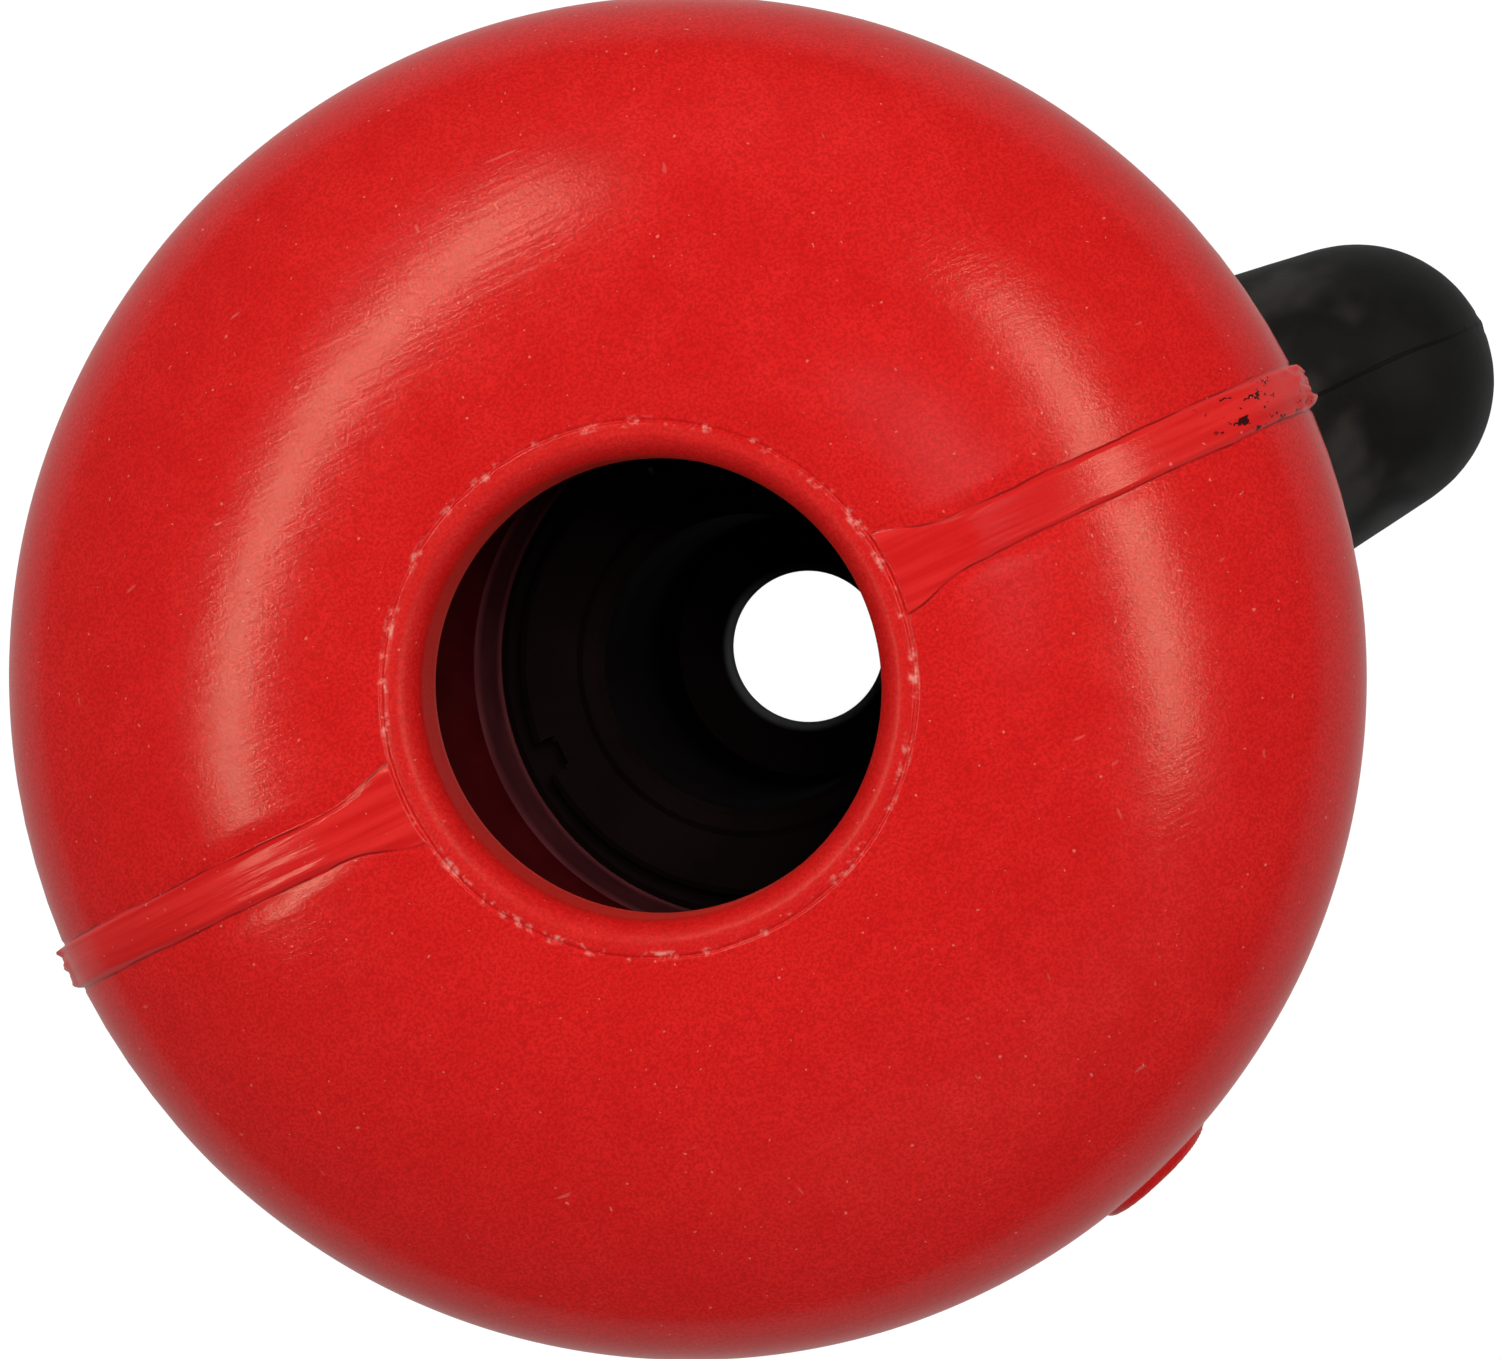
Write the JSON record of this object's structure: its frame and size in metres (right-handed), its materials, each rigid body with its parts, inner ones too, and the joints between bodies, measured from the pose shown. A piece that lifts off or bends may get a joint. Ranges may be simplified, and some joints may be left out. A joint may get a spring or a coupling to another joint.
{
  "type": "bearing diabolo",
  "caption": "Two hollow bulb-shaped rubber cups with turned-in mouths on a hollow axle, with a two-armed rubber grip that spins on ball bearings at the waist.",
  "frame": {"origin": "centre of the rear cup's mouth face, on the surface that the object stands on", "axes": "+Z along the axle towards the front cup, X along the grip's two arms"},
  "size_m": [0.1404, 0.1, 0.17],
  "materials": {
    "red_rubber": "satin moulded rubber with a fine grain",
    "black_rubber": "satin moulded rubber",
    "black_aluminium": "black anodised, satin",
    "zinc_steel": "dull zinc plated",
    "bearing_steel": "ground and polished",
    "cage_plastic": "plain moulded nylon",
    "spring_steel": "black oxide"
  },
  "bodies": {
    "cups": {"front_cup": "red_rubber", "rear_cup": "red_rubber", "hollow_axle": "black_aluminium", "axle_ring_nut": "black_aluminium", "lock_washer": "zinc_steel", "front_neck_flange": "black_aluminium", "rear_neck_flange": "black_aluminium", "front_clamp_plate": "black_aluminium", "rear_clamp_plate": "black_aluminium", "inner_spacer": "zinc_steel", "front_inner_race": "bearing_steel", "rear_inner_race": "bearing_steel"},
    "handle": {"handle_core": "black_aluminium", "handle_jacket": "black_rubber", "outer_spacer": "zinc_steel", "front_outer_race": "bearing_steel", "rear_outer_race": "bearing_steel", "front_bearing_shields": "zinc_steel", "rear_bearing_shields": "zinc_steel", "front_retaining_ring": "spring_steel", "rear_retaining_ring": "spring_steel"},
    "front_balls": {"front_bearing_balls": "bearing_steel", "front_ball_cage": "cage_plastic"},
    "rear_balls": {"rear_bearing_balls": "bearing_steel", "rear_ball_cage": "cage_plastic"}
  },
  "joints": [
    {"name": "handle_spin", "type": "hinge", "parent": "cups", "child": "handle", "pos_m": [0, 0, 0.085], "axis": [0, 0, 1], "continuous": true},
    {"name": "front_ball_roll", "type": "hinge", "parent": "cups", "child": "front_balls", "pos_m": [0, 0, 0.093], "axis": [0, 0, 1], "continuous": true},
    {"name": "rear_ball_roll", "type": "hinge", "parent": "cups", "child": "rear_balls", "pos_m": [0, 0, 0.077], "axis": [0, 0, 1], "continuous": true}
  ],
  "couplings": [
    {"joint": "front_ball_roll", "follows": "handle_spin", "ratio": 0.5486},
    {"joint": "rear_ball_roll", "follows": "handle_spin", "ratio": 0.5486}
  ]
}
